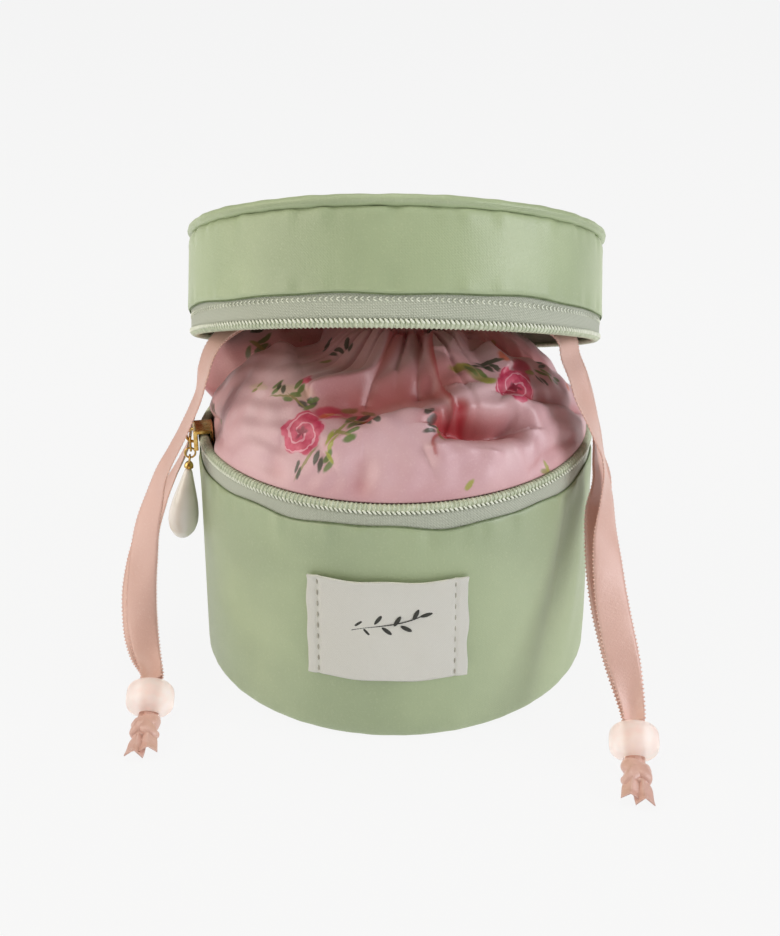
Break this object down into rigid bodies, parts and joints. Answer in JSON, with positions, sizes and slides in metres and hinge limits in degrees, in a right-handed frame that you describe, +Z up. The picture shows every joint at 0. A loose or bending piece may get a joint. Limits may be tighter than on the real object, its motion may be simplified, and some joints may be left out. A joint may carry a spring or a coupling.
{
  "type": "jewelry bag",
  "caption": "Small round satin zip bag with its lid tipped open over a drawstring pouch, satin ribbons with beads and knots, and a pearl drop on the zip slider.",
  "frame": {"origin": "middle of the base's underside, on the surface that the bag stands on", "axes": "+Z up, -Y towards the front with the label, +X to the right seen from the front"},
  "size_m": [0.1314, 0.1331, 0.1281],
  "materials": {
    "satin_green": "satin",
    "zip_tape": "woven",
    "satin_print": "satin",
    "ribbon_satin": "satin",
    "label_cloth": "woven",
    "zip_coil": "satin",
    "frosted_bead": "frosted",
    "gold": "polished",
    "pearl": "gloss"
  },
  "bodies": {
    "root": {"bag_body": "satin_green", "base_panel": "satin_green", "lid_band": "satin_green", "lid_piping": "satin_green", "lid_top": "satin_green", "back_hinge": "satin_green", "body_zip_tape": "zip_tape", "lid_zip_tape": "zip_tape", "body_zip_coil": "zip_coil", "lid_zip_coil": "zip_coil", "pouch": "satin_print", "ribbon_left_front": "ribbon_satin", "ribbon_left_back": "ribbon_satin", "ribbon_right_front": "ribbon_satin", "ribbon_right_back": "ribbon_satin", "knot_left": "ribbon_satin", "knot_right": "ribbon_satin", "bead_left": "frosted_bead", "bead_right": "frosted_bead", "zip_slider": "gold", "pull_link": "gold", "pull_ring": "gold", "pearl_cap": "gold", "pearl_drop": "pearl", "label": "label_cloth"}
  },
  "joints": []
}
